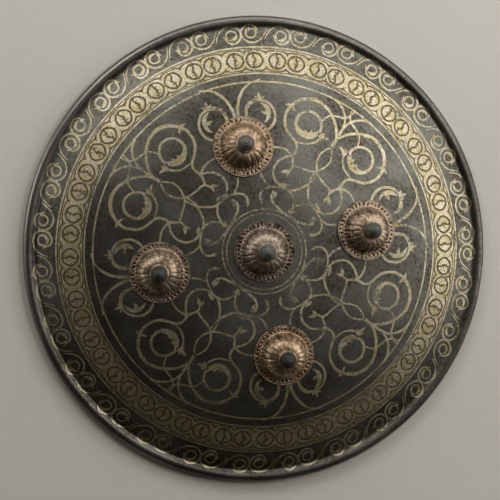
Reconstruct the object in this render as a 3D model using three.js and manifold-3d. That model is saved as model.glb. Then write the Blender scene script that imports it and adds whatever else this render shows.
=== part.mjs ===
// A round steel shield with five gilt copper bosses, face up on its rolled rim.
// Millimetres, +Z up. The origin is on the shield's axis, level with the underside of the rim.
import * as THREE from 'three';
import { mergeVertices } from 'three/addons/utils/BufferGeometryUtils.js';
import Module from 'manifold-3d';

const wasm = await Module();
wasm.setup();

// Driving dimensions of the plate
const shieldRadius = 225; // axis to the outside of the rolled rim
const crownHeight = 53.2; // face of the plate at the axis, above the rim's underside
const plateThickness = 1.6;
const footInset = 14; // from the outside of the rim in to the foot of the dome
const footHeight = 8.9; // face of the plate at the foot of the dome
const domeFullness = 0.57; // share of the dome's fall that comes late, near the foot
const rollRadius = 5.3; // outside radius of the rolled edge
const rollFlat = 0.25; // depth worn flat under the roll
const rollEndAngle = -162; // where the rolled sheet stops, in degrees round the roll's centre
const troughRadius = 4; // hollow between dome and roll

// Driving dimensions of the bosses
const bossCircleRadius = 101; // shield's axis to the axis of an outer boss
const flangeRadius = 29;
const flangeThickness = 1.4;
const bossRadius = 21.3; // foot of the bell, inside the raised ring
const bossHeight = 21; // top of the bell above the plate
const bossWall = 1.3;
const shoulderHeight = 17.6; // where the bell turns up into its neck
const neckRadius = 8.6;
const ringWidth = 1.9; // raised ring round the foot of the bell
const ringHeight = 1.1;
const petalCount = 20;
const petalDepth = 1;

// Driving dimensions of the rivets and washers
const rivetHeadRadius = 7.8;
const rivetHeadHeight = 9.2;
const shankRadius = 3;
const peenRadius = 5.4;
const peenHeight = 2.2;
const washerRadius = 9;
const washerThickness = 1.5;

// Driving dimensions of the two straps on the back
const strapWidth = 30;
const strapThickness = 3.6;
const strapTabLength = 28; // flat end that the rivet passes through
const strapBow = 33; // how far the middle of the strap stands off the line of its rivets

// Clearances
const fitGap = 0.3; // between pieces that touch
const holeClearance = 0.3; // round each rivet's shank

// Facet counts
const plateSegments = 48;
const rivetSegments = 10;
const washerSegments = 12;
const segmentsPerPetal = 2;
const domeSteps = 6;
const bellSteps = 3;
const strapSteps = 6;

const firstBossAngle = 45; // degrees from +X to the first outer boss, the rest at equal steps
const outerBosses = ['upper_right', 'upper_left', 'lower_left', 'lower_right'];
const fullTurn = 360;
const bossStep = fullTurn / outerBosses.length;

// Each strap runs from the boss named here to the next one round
const strapStarts = { left: 'upper_left', right: 'lower_right' };

const finishes = {
  blackened_steel: { color: 0x3b4042, roughness: 0.42, metalness: 0.9 },
  gilt_copper: { color: 0x9a7650, roughness: 0.42, metalness: 1 },
  dark_iron: { color: 0x3a3d3f, roughness: 0.5, metalness: 0.9 },
  strap_leather: { color: 0x4d3222, roughness: 0.72, metalness: 0 },
};

const holeRadius = shankRadius + holeClearance;
const footRadius = shieldRadius - footInset;
const domeFall = crownHeight - footHeight;

// Form of the dome: height, slope and bending of its face at a distance from the axis
function domeHeight(r) {
  const q = r / footRadius;
  return crownHeight - domeFall * ((1 - domeFullness) * q ** 2 + domeFullness * q ** 4);
}

function domeSlope(r) {
  const q = r / footRadius;
  return (domeFall / footRadius) * (2 * (1 - domeFullness) * q + 4 * domeFullness * q ** 3);
}

function tightestRadius(r) {
  const q = r / footRadius;
  const bending = (domeFall / footRadius ** 2) * (2 * (1 - domeFullness) + 12 * domeFullness * q ** 2);
  return 1 / bending;
}

function widestRadius(r) {
  const q = r / footRadius;
  const bending = (domeFall / footRadius ** 2) * (2 * (1 - domeFullness) + 4 * domeFullness * q ** 2);
  return 1 / bending;
}

function point(r, z) {
  return new THREE.Vector2(r, z);
}

function onCircle(centre, radius, degrees) {
  const angle = THREE.MathUtils.degToRad(degrees);
  return point(centre.x + radius * Math.cos(angle), centre.y + radius * Math.sin(angle));
}

function arc(centre, radius, fromDegrees, toDegrees, steps) {
  const points = [];
  for (let i = 0; i <= steps; i += 1) {
    points.push(onCircle(centre, radius, fromDegrees + ((toDegrees - fromDegrees) * i) / steps));
  }
  return points;
}

// A solid turned about +Z from an outline of radius and height
function turned(outline, segments) {
  const geometry = new THREE.LatheGeometry(outline, segments);
  geometry.rotateX(Math.PI / 2);
  return geometry;
}

function toSolid(geometry) {
  const bare = new THREE.BufferGeometry();
  bare.setAttribute('position', geometry.getAttribute('position').clone());
  bare.setIndex(geometry.index ? geometry.index.clone() : null);
  const merged = mergeVertices(bare, 1e-4);
  const triangles = [];
  for (let i = 0; i < merged.index.count; i += 3) {
    const corners = [0, 1, 2].map((k) => merged.index.getX(i + k));
    if (new Set(corners).size === 3) {
      triangles.push(...corners);
    }
  }
  const mesh = new wasm.Mesh({
    numProp: 3,
    vertProperties: new Float32Array(merged.getAttribute('position').array),
    triVerts: new Uint32Array(triangles),
  });
  return new wasm.Manifold(mesh);
}

function toGeometry(solid) {
  const mesh = solid.getMesh();
  const geometry = new THREE.BufferGeometry();
  geometry.setAttribute('position', new THREE.BufferAttribute(mesh.vertProperties, 3));
  geometry.setIndex(new THREE.BufferAttribute(mesh.triVerts, 1));
  geometry.computeVertexNormals();
  return geometry;
}

function namedMesh(name, geometry, finish) {
  const mesh = new THREE.Mesh(geometry, new THREE.MeshStandardMaterial(finishes[finish]));
  mesh.name = name;
  return mesh;
}

// A drill along +Z, as long as it needs to be to pass through a piece
function drill(reach) {
  const geometry = new THREE.CylinderGeometry(holeRadius, holeRadius, 2 * reach, rivetSegments);
  geometry.rotateX(Math.PI / 2);
  return geometry;
}

// Seat of a boss: a frame on the plate's face with +Z along the face's normal
function bossSeat(degrees) {
  const seat = new THREE.Group();
  const angle = THREE.MathUtils.degToRad(degrees);
  const lean = Math.atan(domeSlope(bossCircleRadius));
  seat.position.set(
    bossCircleRadius * Math.cos(angle),
    bossCircleRadius * Math.sin(angle),
    domeHeight(bossCircleRadius),
  );
  seat.rotation.set(0, lean, angle, 'ZYX');
  seat.updateMatrix();
  return seat;
}

function centreSeat() {
  const seat = new THREE.Group();
  seat.position.set(0, 0, crownHeight);
  seat.updateMatrix();
  return seat;
}

// Where the hollow of the trough leaves the dome, so that it also meets the roll smoothly
function troughStart(rollCentre) {
  let inner = footRadius - 2 * footInset;
  let outer = shieldRadius;
  let start = null;
  for (let i = 0; i < 50; i += 1) {
    const r = (inner + outer) / 2;
    const fall = Math.atan(domeSlope(r));
    const centre = point(r + troughRadius * Math.sin(fall), domeHeight(r) + troughRadius * Math.cos(fall));
    start = { r, centre, fallDegrees: THREE.MathUtils.radToDeg(fall) };
    if (centre.distanceTo(rollCentre) > troughRadius + rollRadius) {
      inner = r;
    } else {
      outer = r;
    }
  }
  return start;
}

// The plate is one sheet: dome, trough and an edge rolled over to the back
function plateOutline() {
  const rollCentre = point(shieldRadius - rollRadius, rollRadius - rollFlat);
  const start = troughStart(rollCentre);
  const toTrough = start.centre.clone().sub(rollCentre);
  const meetDegrees = THREE.MathUtils.radToDeg(toTrough.angle());
  const flatDegrees = THREE.MathUtils.radToDeg(Math.acos((rollRadius - rollFlat) / rollRadius));
  const troughFrom = 270 - start.fallDegrees;
  const troughTo = 180 + meetDegrees;

  const face = [];
  const back = [];
  for (let i = 0; i < domeSteps; i += 1) {
    const r = (start.r * i) / domeSteps;
    const fall = Math.atan(domeSlope(r));
    face.push(point(r, domeHeight(r)));
    back.push(point(r - plateThickness * Math.sin(fall), domeHeight(r) - plateThickness * Math.cos(fall)));
  }
  face.push(...arc(start.centre, troughRadius, troughFrom, troughTo, 2));
  back.push(...arc(start.centre, troughRadius + plateThickness, troughFrom, troughTo, 2));
  const innerRadius = rollRadius - plateThickness;
  const roll = [
    ...arc(rollCentre, rollRadius, meetDegrees, 0, 4).slice(1),
    ...arc(rollCentre, rollRadius, 0, -90 + flatDegrees, 2).slice(1),
    ...arc(rollCentre, rollRadius, -90 - flatDegrees, rollEndAngle, 2),
  ];
  const curl = arc(rollCentre, innerRadius, rollEndAngle, meetDegrees, 5).slice(0, -1);
  const overTheFace = [...face, ...roll, ...curl, ...back.reverse()];
  return overTheFace.reverse();
}

function makePlate(seats) {
  let plate = toSolid(turned(plateOutline(), plateSegments));
  for (const seat of seats) {
    const hole = drill(4 * plateThickness);
    hole.applyMatrix4(seat.matrix);
    plate = plate.subtract(toSolid(hole));
  }
  return namedMesh('shield_plate', toGeometry(plate), 'blackened_steel');
}

// Outside of a boss from the foot of its bell up to the neck
function bellCurve(stand) {
  const points = [];
  for (let i = 0; i <= bellSteps; i += 1) {
    const turn = (i / bellSteps) * 0.5 * Math.PI;
    const spread = Math.cos(turn) ** 0.9;
    const r = neckRadius + (bossRadius - neckRadius) * spread;
    points.push(point(r, stand + (shoulderHeight - stand) * Math.sin(turn)));
  }
  return points;
}

// How deep the furrow between two petals is: none at the crown of a petal or at either end
function furrow(angle, height) {
  const across = 0.5 - 0.5 * Math.cos(petalCount * angle);
  const along = THREE.MathUtils.clamp(height / shoulderHeight, 0, 1);
  return petalDepth * across * Math.sin(Math.PI * along) ** 0.5;
}

function makeBoss(name, seatRadius) {
  const underside = (r) => fitGap - r ** 2 / (2 * seatRadius);
  const ringFoot = bossRadius + ringWidth;
  const stand = underside(bossRadius) + flangeThickness;
  const bell = bellCurve(stand);
  const lining = bell.slice(1, -1).map((p) => {
    const share = (p.y - stand) / (shoulderHeight - stand);
    return point(p.x - bossWall * (1 - share), p.y - bossWall * share);
  });
  const outline = [
    point(flangeRadius, underside(flangeRadius)),
    point(flangeRadius, underside(flangeRadius) + flangeThickness),
    point(ringFoot, underside(ringFoot) + flangeThickness),
    point(ringFoot - ringWidth / 2, stand + ringHeight),
    ...bell,
    point(neckRadius, bossHeight),
    point(holeRadius, bossHeight),
    point(holeRadius, bossHeight - bossWall),
    ...lining.reverse(),
    point(bossRadius - bossWall, underside(bossRadius - bossWall)),
    point(flangeRadius, underside(flangeRadius)),
  ];
  const geometry = turned(outline, petalCount * segmentsPerPetal);
  const places = geometry.getAttribute('position');
  for (let i = 0; i < places.count; i += 1) {
    const [x, y, z] = [places.getX(i), places.getY(i), places.getZ(i)];
    const r = Math.hypot(x, y);
    if (z > stand && r > neckRadius - bossWall && r <= bossRadius) {
      const scale = 1 - furrow(Math.atan2(y, x), z) / r;
      places.setXY(i, x * scale, y * scale);
    }
  }
  return namedMesh(name, toGeometry(toSolid(geometry)), 'gilt_copper');
}

// One rivet: pointed head on the boss, shank through everything, end hammered over the washer
function makeRivet(name, washerUnderside) {
  const headFoot = bossHeight + fitGap;
  const peenTop = washerUnderside - fitGap;
  const headShape = [
    [1, 0],
    [1, 0.16],
    [0.8, 0.52],
    [0.4, 0.86],
    [0, 1],
  ];
  const outline = [
    point(0, peenTop - peenHeight),
    point(0.6 * peenRadius, peenTop - 0.8 * peenHeight),
    point(peenRadius, peenTop - 0.3 * peenHeight),
    point(peenRadius, peenTop),
    point(shankRadius, peenTop),
    point(shankRadius, headFoot),
    ...headShape.map(([r, z]) => point(r * rivetHeadRadius, headFoot + z * rivetHeadHeight)),
  ];
  return namedMesh(name, turned(outline, rivetSegments), 'dark_iron');
}

function makeWasher(name, top) {
  const outline = [
    point(holeRadius, top - washerThickness),
    point(washerRadius, top - washerThickness),
    point(washerRadius, top),
    point(holeRadius, top),
    point(holeRadius, top - washerThickness),
  ];
  return namedMesh(name, turned(outline, washerSegments), 'dark_iron');
}

// Depth, below the plate's face, at which a flat piece of a given reach clears the curved back
// and the flats between the back's facets
function clearDepth(reach, bendRadius) {
  const facetLength = footRadius / domeSteps;
  return plateThickness + fitGap + reach ** 2 / (2 * bendRadius) + facetLength ** 2 / (8 * bendRadius);
}

const strapReach = Math.hypot(strapTabLength, strapWidth) / 2;
const strapTop = -clearDepth(strapReach, tightestRadius(bossCircleRadius));
const outerWasherTop = strapTop - strapThickness - fitGap;
const centreWasherTop = -clearDepth(washerRadius, tightestRadius(0));

// A strap's side view: flat ends on the rivets, and a bow between them for an arm or a hand
function strapCentreLine(halfSpan, endLean) {
  const normal = point(Math.sin(endLean), Math.cos(endLean));
  const inward = point(-Math.cos(endLean), Math.sin(endLean));
  const middleDepth = -strapTop + strapThickness / 2;
  const rivet = point(halfSpan, 0).addScaledVector(normal, -middleDepth);
  const tabOut = rivet.clone().addScaledVector(inward, -strapTabLength / 2);
  const tabIn = rivet.clone().addScaledVector(inward, strapTabLength / 2);
  const lead = strapTabLength / 3;
  const bend = new THREE.CubicBezierCurve(
    tabIn,
    tabIn.clone().addScaledVector(inward, lead),
    point(halfSpan / 2, -strapBow),
    point(0, -strapBow),
  );
  const half = [tabOut, ...bend.getPoints(strapSteps)];
  const mirrored = half.slice(0, -1).map((p) => point(-p.x, p.y));
  return [...half, ...mirrored.reverse()];
}

function strapShape(line) {
  const upper = [];
  const lower = [];
  line.forEach((p, i) => {
    const before = line[Math.max(i - 1, 0)];
    const after = line[Math.min(i + 1, line.length - 1)];
    const along = after.clone().sub(before).normalize();
    const across = point(-along.y, along.x).multiplyScalar(strapThickness / 2);
    upper.push(p.clone().sub(across));
    lower.push(p.clone().add(across));
  });
  return new THREE.Shape([...upper, ...lower.reverse()]);
}

function makeStrap(name, startDegrees) {
  const halfTurn = THREE.MathUtils.degToRad(bossStep) / 2;
  const middle = THREE.MathUtils.degToRad(startDegrees) + halfTurn;
  const lean = Math.atan(domeSlope(bossCircleRadius));
  const sideLean = Math.atan2(Math.sin(lean) * Math.cos(halfTurn), Math.cos(lean));
  const endLean = Math.asin(Math.sin(lean) * Math.sin(halfTurn));
  const halfSpan = bossCircleRadius * Math.sin(halfTurn);

  const line = strapCentreLine(halfSpan, endLean);
  const geometry = new THREE.ExtrudeGeometry(strapShape(line), {
    depth: strapWidth,
    bevelEnabled: false,
    steps: 1,
  });
  geometry.translate(0, 0, -strapWidth / 2);
  const lengthwise = new THREE.Vector3(0, 1, 0);
  const outOfPlate = new THREE.Vector3(0, 0, 1);
  const sideways = new THREE.Vector3(1, 0, 0);
  geometry.applyMatrix4(new THREE.Matrix4().makeBasis(lengthwise, outOfPlate, sideways));

  let strap = toSolid(geometry);
  for (const end of [-1, 1]) {
    const hole = drill(3 * (strapThickness - strapTop));
    hole.rotateX(-end * endLean);
    hole.translate(0, end * halfSpan, 0);
    strap = strap.subtract(toSolid(hole));
  }
  const mesh = namedMesh(name, toGeometry(strap), 'strap_leather');
  const distance = bossCircleRadius * Math.cos(halfTurn);
  mesh.position.set(
    distance * Math.cos(middle),
    distance * Math.sin(middle),
    domeHeight(bossCircleRadius),
  );
  mesh.rotation.set(0, sideLean, middle, 'ZYX');
  return mesh;
}

const shield = new THREE.Group();
const seats = [];

const crown = centreSeat();
crown.add(makeBoss('boss_centre', widestRadius(0)));
crown.add(makeRivet('rivet_centre', centreWasherTop - washerThickness));
crown.add(makeWasher('washer_centre', centreWasherTop));
seats.push(crown);

function outerAngle(place) {
  return firstBossAngle + outerBosses.indexOf(place) * bossStep;
}

for (const place of outerBosses) {
  const seat = bossSeat(outerAngle(place));
  seat.add(makeBoss(`boss_${place}`, widestRadius(bossCircleRadius)));
  seat.add(makeRivet(`rivet_${place}`, outerWasherTop - washerThickness));
  seat.add(makeWasher(`washer_${place}`, outerWasherTop));
  seats.push(seat);
}

shield.add(makePlate(seats), ...seats);

for (const [side, start] of Object.entries(strapStarts)) {
  shield.add(makeStrap(`strap_${side}`, outerAngle(start)));
}

export default shield;
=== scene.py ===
# %% [markdown]
# # A round steel shield with gold scrolls and five gilt bosses
#
# The shield lies face up on its rolled rim, and the camera looks down on it from about 9 degrees off its
# axis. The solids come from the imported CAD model. This script gives them their finish: gold laid flush
# into blued steel, chased copper, forged iron and stitched leather. Lengths are in millimetres until the
# meshes are made.

# %% Load the frame and keep the CAD box
import math
import random
from functools import partial

import bpy
import numpy as np
from mathutils import Matrix, Vector
from mathutils.geometry import delaunay_2d_cdt


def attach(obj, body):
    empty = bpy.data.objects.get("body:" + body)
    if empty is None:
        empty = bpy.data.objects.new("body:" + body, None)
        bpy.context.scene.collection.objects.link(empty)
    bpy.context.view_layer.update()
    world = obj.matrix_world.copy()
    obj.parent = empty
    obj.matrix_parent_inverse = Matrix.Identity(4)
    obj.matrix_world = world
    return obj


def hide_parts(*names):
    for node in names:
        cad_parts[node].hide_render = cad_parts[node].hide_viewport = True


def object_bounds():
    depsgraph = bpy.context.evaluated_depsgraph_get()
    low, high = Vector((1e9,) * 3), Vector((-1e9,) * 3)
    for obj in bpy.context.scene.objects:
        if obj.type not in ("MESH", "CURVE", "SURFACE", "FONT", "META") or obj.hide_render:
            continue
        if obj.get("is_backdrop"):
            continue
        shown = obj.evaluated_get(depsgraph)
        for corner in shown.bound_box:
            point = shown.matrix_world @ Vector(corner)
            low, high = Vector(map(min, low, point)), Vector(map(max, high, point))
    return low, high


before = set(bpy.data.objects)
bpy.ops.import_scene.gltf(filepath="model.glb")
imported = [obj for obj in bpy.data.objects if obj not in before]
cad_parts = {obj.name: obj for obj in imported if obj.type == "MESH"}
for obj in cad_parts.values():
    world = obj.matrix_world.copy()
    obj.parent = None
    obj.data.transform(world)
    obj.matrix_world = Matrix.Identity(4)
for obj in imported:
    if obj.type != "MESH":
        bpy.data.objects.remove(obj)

MM = 0.001
cad_low, cad_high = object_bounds()
random.seed(7)
print("CAD box in mm:", [round(v / MM, 1) for v in (*cad_low, *cad_high)])

# %% [markdown]
# ## Colours and nodes
#
# A colour card gives sRGB values and Blender works in linear light, so one function turns a hex value to
# linear. A material is a tree of nodes. One function adds any node: it takes the values of its sockets by
# name, or in their order, links a value that is itself a socket, and gives back the output that the next
# node needs. Each pattern gets its scale from the size in millimetres that its blotches or grains have on
# the real surface.

# %% Helpers for colours, nodes and materials
def colour(hex_code):
    channels = [int(hex_code[i:i + 2], 16) / 255 for i in (1, 3, 5)]
    linear = [c / 12.92 if c <= 0.04045 else ((c + 0.055) / 1.055) ** 2.4 for c in channels]
    return (*linear, 1.0)


def add_node(tree, kind, inputs=(), out=0, **settings):
    node = tree.nodes.new("ShaderNode" + kind)
    for name, value in settings.items():
        setattr(node, name, value)
    for socket, value in inputs.items() if isinstance(inputs, dict) else enumerate(inputs):
        if isinstance(value, bpy.types.NodeSocket):
            tree.links.new(value, node.inputs[socket])
        else:
            node.inputs[socket].default_value = value
    return node.outputs[out] if node.outputs else None


def new_material(name):
    """A material with no nodes, and the function that adds nodes to it."""
    material = bpy.data.materials.new(name)
    material.use_nodes = True
    material.node_tree.nodes.clear()
    return material, partial(add_node, material.node_tree)


def grain(where, size_mm, detail, roughness=0.55):
    """Inputs of a noise whose blotches are about size_mm across on the real surface."""
    return {"Vector": where, "Scale": 1 / (size_mm * MM), "Detail": detail, "Roughness": roughness}


def finish(add, base, roughness, height, depth_mm, metallic=1.0):
    """One shader on the material's output, with a fine height as its bump."""
    bump = add("Bump", {"Height": height, "Strength": 0.5, "Distance": depth_mm * MM})
    add("OutputMaterial", [add("BsdfPrincipled", {
        "Base Color": base, "Metallic": metallic, "Roughness": roughness, "Normal": bump,
    })])


def coats(add, base, *layers):
    """Colours laid over a base in turn, each by its own share. The Mix node's colours are sockets 6 and 7."""
    for share, tint in layers:
        base = add("Mix", {0: share, 6: base, 7: tint}, out=2, data_type="RGBA")
    return base


def weighted(add, *parts):
    """The sum of some values, each times its weight."""
    products = [add("Math", part, operation="MULTIPLY", use_clamp=True) for part in parts]
    total = products[0]
    for product in products[1:]:
        total = add("Math", [total, product], operation="ADD", use_clamp=True)
    return total


print("a mid grey of #808080 is", round(colour("#808080")[0], 3), "in linear light")

# %% [markdown]
# ## The form of the plate
#
# The face is a dome that falls to a shallow trough, and the edge of the sheet is rolled over to the back.
# It could be turned from a curve, but up to the crest of the roll its height is a plain function of the
# distance from the axis, which lets a flat drawing be laid on it. The sizes are the solid's, but for the
# trough: its radius is 3 mm here, as in the photograph, and 4 mm in the solid, which puts the two less
# than 1 mm apart.

# %% Sizes and height of the face
SHIELD_RADIUS, CROWN_HEIGHT, SHEET = 225.0, 53.2, 1.6
FOOT_RADIUS, FOOT_HEIGHT, FULLNESS = 211.0, 8.9, 0.57
ROLL_RADIUS, ROLL_FLAT, ROLL_END, TROUGH_RADIUS = 5.3, 0.25, -162.0, 3.0
ROLL_R, ROLL_Z = SHIELD_RADIUS - ROLL_RADIUS, ROLL_RADIUS - ROLL_FLAT
TROUGH_SEARCH, HALVINGS = 28.0, 50
DOME_FALL = CROWN_HEIGHT - FOOT_HEIGHT


def dome_height(r):
    q = r / FOOT_RADIUS
    return CROWN_HEIGHT - DOME_FALL * ((1 - FULLNESS) * q ** 2 + FULLNESS * q ** 4)


def dome_slope(r):
    q = r / FOOT_RADIUS
    return DOME_FALL / FOOT_RADIUS * (2 * (1 - FULLNESS) * q + 4 * FULLNESS * q ** 3)


def find_trough():
    """Radius where the trough leaves the dome, and the centre of its hollow."""
    inner, outer = FOOT_RADIUS - TROUGH_SEARCH, SHIELD_RADIUS
    for _ in range(HALVINGS):
        r = (inner + outer) / 2
        fall = math.atan(dome_slope(r))
        centre = (r + TROUGH_RADIUS * math.sin(fall), dome_height(r) + TROUGH_RADIUS * math.cos(fall))
        if math.dist(centre, (ROLL_R, ROLL_Z)) > TROUGH_RADIUS + ROLL_RADIUS:
            inner = r
        else:
            outer = r
    return r, centre


TROUGH_START, (TROUGH_R, TROUGH_Z) = find_trough()
MEET = math.atan2(TROUGH_Z - ROLL_Z, TROUGH_R - ROLL_R)
MEET_R = ROLL_R + ROLL_RADIUS * math.cos(MEET)


def face_height(r):
    r = np.asarray(r, float)
    trough = TROUGH_Z - np.sqrt(np.clip(TROUGH_RADIUS ** 2 - (r - TROUGH_R) ** 2, 0, None))
    roll = ROLL_Z + np.sqrt(np.clip(ROLL_RADIUS ** 2 - (r - ROLL_R) ** 2, 0, None))
    return np.where(r < TROUGH_START, dome_height(r), np.where(r < MEET_R, trough, roll))


def face_normals(points, step=0.01):
    r = np.maximum(np.hypot(points[:, 0], points[:, 1]), step)
    inside = np.minimum(r, ROLL_R)
    slope = (face_height(inside + step) - face_height(inside - step)) / (2 * step)
    normals = np.stack([-slope * points[:, 0] / r, -slope * points[:, 1] / r, np.ones(len(r))], 1)
    return normals / np.linalg.norm(normals, axis=1)[:, None]


print("trough from", round(TROUGH_START, 1), "to", round(MEET_R, 1), "mm, crest of the roll at", ROLL_R)

# %% [markdown]
# ## Drawing with a pen
#
# Every line of the ornament is a pen stroke: a smooth curve through a few points, with a width that
# swells and tapers. Leaves are small pointed shapes. An image could hold the drawing, but polygons stay
# sharp at any distance and can be changed by hand. Each is kept with the metal it is made of, gold or
# scored steel, and what is drawn later lies over what came before, as on paper. PEN widens every stroke,
# and was set until the gold covered as much of the field as in the photograph.

# %% Strokes, leaves and crescents
PEN = 1.42


def smooth_line(points, spacing, samples=14):
    """A curve through the points, cut into even steps of about the spacing."""
    p = np.array(points, float)
    p = np.vstack([2 * p[0] - p[1], p, 2 * p[-1] - p[-2]])
    fine = []
    for i in range(1, len(p) - 2):
        for t in np.linspace(0, 1, samples, endpoint=False):
            fine.append(0.5 * ((2 * p[i]) + (p[i + 1] - p[i - 1]) * t
                               + (2 * p[i - 1] - 5 * p[i] + 4 * p[i + 1] - p[i + 2]) * t ** 2
                               + (3 * p[i] - p[i - 1] - 3 * p[i + 1] + p[i + 2]) * t ** 3))
    fine = np.array(fine + [p[-2]])
    run = np.r_[0, np.cumsum(np.linalg.norm(np.diff(fine, axis=0), axis=1))]
    at = np.linspace(0, run[-1], max(2, int(round(run[-1] / spacing))) + 1)
    return np.stack([np.interp(at, run, fine[:, k]) for k in (0, 1)], 1)


def stroke(points, widths, spacing=2.2):
    """A pen line, with its widths in mm at even steps along it."""
    line = smooth_line(points, spacing)
    along = np.gradient(line, axis=0)
    along /= np.linalg.norm(along, axis=1)[:, None] + 1e-9
    across = np.stack([-along[:, 1], along[:, 0]], 1)
    half = PEN * np.interp(np.linspace(0, 1, len(line)), np.linspace(0, 1, len(widths)), widths) / 2
    left, right = line + across * half[:, None], line - across * half[:, None]
    return [np.array([left[i], left[i + 1], right[i + 1], right[i]]) for i in range(len(line) - 1)]


def ring_arc(centre, radii, start, end, widths, steps=24):
    turn = np.radians(np.linspace(start, end, steps))
    arc = np.stack([centre[0] + radii[0] * np.cos(turn), centre[1] + radii[1] * np.sin(turn)], 1)
    return stroke(arc, widths, spacing=1.9)


def leaf(base, tip, width):
    base, tip = np.array(base, float), np.array(tip, float)
    along = tip - base
    across = np.array([-along[1], along[0]])
    across = across / np.linalg.norm(across)
    share = np.array([0, 0.18, 0.4, 0.65, 0.85, 1.0])
    fat = np.array([0.25, 0.75, 1.0, 0.72, 0.34, 0.0]) * width / 2
    middle = base + along * share[:, None]
    left = middle + across * fat[:, None]
    right = middle - across * fat[:, None]
    return [np.vstack([left, right[-2::-1]])]


def crescent(centre, radius, start, end, thickness, steps=12, edge=0.3):
    turn = np.radians(np.linspace(start, end, steps))
    swell = np.sin(np.linspace(0, math.pi, steps)) ** 0.8 * thickness
    out = np.stack([np.cos(turn), np.sin(turn)], 1)
    outer = np.array(centre) + out * radius
    inner = np.array(centre) + out * (radius - swell - edge)[:, None]
    return [np.vstack([outer[i:i + 2], inner[i + 1], inner[i]]) for i in range(steps - 1)]


drawing = []


def draw(polygons, metal, places):
    for place in places:
        drawing.extend((place(p), metal) for p in polygons)


print("a stroke of 10 mm is made of", len(stroke([(0, 0), (10, 0)], [1, 1])), "polygons")

# %% [markdown]
# ## The scrolls of the field
#
# The maker repeated one motif round the field, and so does the script: one eighth is drawn, mirrored and
# turned. The points are in millimetres from the axis, with an outer boss standing on each axis of the
# drawing. A big volute springs from a node beside the boss and closes in a cusp on the diagonal. Finer
# stems run on from the node round the centre. The parts stand at 45 degrees to the drawing, because the
# bosses do.

# %% Draw one eighth of the field and repeat it
PATTERN_TURN = math.radians(45)


def eighth(turn, mirrored):
    c, s = math.cos(turn), math.sin(turn)

    def place(points):
        x, y = points[:, 0], points[:, 1]
        if mirrored:
            x = -x
        return np.stack([x * c - y * s, x * s + y * c], 1)
    return place


eighths = [eighth(PATTERN_TURN + k * math.pi / 2, m) for k in range(4) for m in (False, True)]

NODE, CUSP = (45.1, 83.2), (84.6, 83.2)
VOLUTE = (66.5, 109.0)

field = []
# Stem from the boss's outer side to the field's edge line
field += stroke([(1.3, 127.0), (2.6, 137.0), (6.5, 146.3), (12.0, 153.4), (19.1, 158.1), (30.0, 159.9)],
                [2.2, 2.0, 1.6, 0.9])
# Small spiral beside the boss, with its crescent leaf and a trefoil on top
field += stroke([(22.0, 109.5), (32.2, 115.3), (36.5, 123.0), (36.1, 131.0), (31.9, 137.9), (24.2, 141.4),
                 (16.6, 140.5), (11.4, 135.7), (9.3, 127.0)], [1.4, 1.8, 1.7, 1.6, 2.6, 1.9])
field += crescent((23.5, 129.0), 10.0, 85, -80, 4.3)
field += leaf((29.6, 127.4), (23.6, 130.2), 3.6)
for tip, width in (((26.0, 149.0), 3.2), ((21.0, 145.6), 3.0), ((31.0, 144.2), 3.0)):
    field += leaf((25.2, 140.5), tip, width)
# Big volute: outer line from the node over the top to the cusp
field += stroke([NODE, (50.3, 89.3), (50.6, 95.3), (47.1, 101.9), (44.3, 109.6), (44.9, 117.3), (48.2, 124.9),
                 (54.2, 129.9), (61.3, 132.9), (67.9, 133.7), (76.7, 131.5), (84.3, 126.0), (89.3, 117.3),
                 (91.9, 107.4), (91.8, 98.6), (89.4, 90.4), CUSP], [1.7, 1.7, 1.8, 2.2, 2.4, 2.0, 1.8, 1.0])
field += leaf((55.0, 130.3), (48.6, 132.6), 2.6)
field += leaf((54.0, 130.0), (57.2, 123.5), 2.4)
# Its inner ring, crescent and the leaf that breaks out of it
field += ring_arc(VOLUTE, (12.3, 12.7), -48, 300, [1.9, 1.6, 1.8, 2.1, 1.6, 1.0], steps=34)
field += crescent(VOLUTE, 12.4, 160, 328, 4.6)
field += leaf((57.9, 101.3), (63.5, 104.4), 4.4)
field += leaf((65.5, 97.8), (68.4, 103.4), 3.6)
for tip, width in (((83.2, 91.2), 3.6), ((80.6, 97.2), 3.4), ((75.6, 91.0), 2.8)):
    field += leaf((74.0, 96.4), tip, width)
field += stroke([(51.5, 95.5), (60.8, 91.2), (69.5, 91.6), (76.0, 95.2)], [0.9, 1.1, 1.6])
# Spandrel on the diagonal, and the lattice that ties the two volutes
field += stroke([(97.6, 128.2), (101.8, 121.5), (103.6, 113.2), (102.2, 105.0), (97.2, 96.9), (91.5, 90.6),
                 CUSP], [1.7, 1.6, 1.4, 1.3, 0.9])
field += stroke([(79.1, 108.9), (84.3, 112.1), (90.4, 113.3), (96.4, 110.7), (103.0, 107.9), (109.6, 109.0),
                 (115.3, 112.8)], [0.9, 1.2, 1.4, 1.2, 0.8])
# Stem from the node back under the boss, and the loop round the centre
field += stroke([NODE, (41.6, 88.2), (36.1, 92.6), (26.5, 95.8)], [1.7, 1.3, 1.0])
field += stroke([NODE, (39.4, 83.6), (31.7, 81.8), (26.2, 77.8), (23.1, 71.2), (23.8, 63.5), (28.4, 56.9),
                 (34.4, 52.0), (37.0, 44.9), (35.5, 37.2), (31.7, 29.0)], [1.7, 1.5, 1.6, 1.6, 1.5, 1.4, 1.1])
# Double ogee between the cusp and the crossing
field += stroke([(83.4, 82.4), (82.3, 77.0), (78.8, 70.4), (70.6, 65.6), (61.3, 64.9), (53.6, 68.1),
                 (47.6, 71.7), (43.5, 73.4), (43.8, 78.3), NODE], [0.9, 1.1, 1.3, 1.3, 1.4, 1.7])
field += stroke([(43.5, 73.4), (40.5, 71.0), (37.0, 69.4)], [1.5, 1.2])
for tip, width in (((30.0, 70.4), 3.8), ((34.8, 64.6), 2.6)):
    field += leaf((38.6, 70.0), tip, width)
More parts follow.
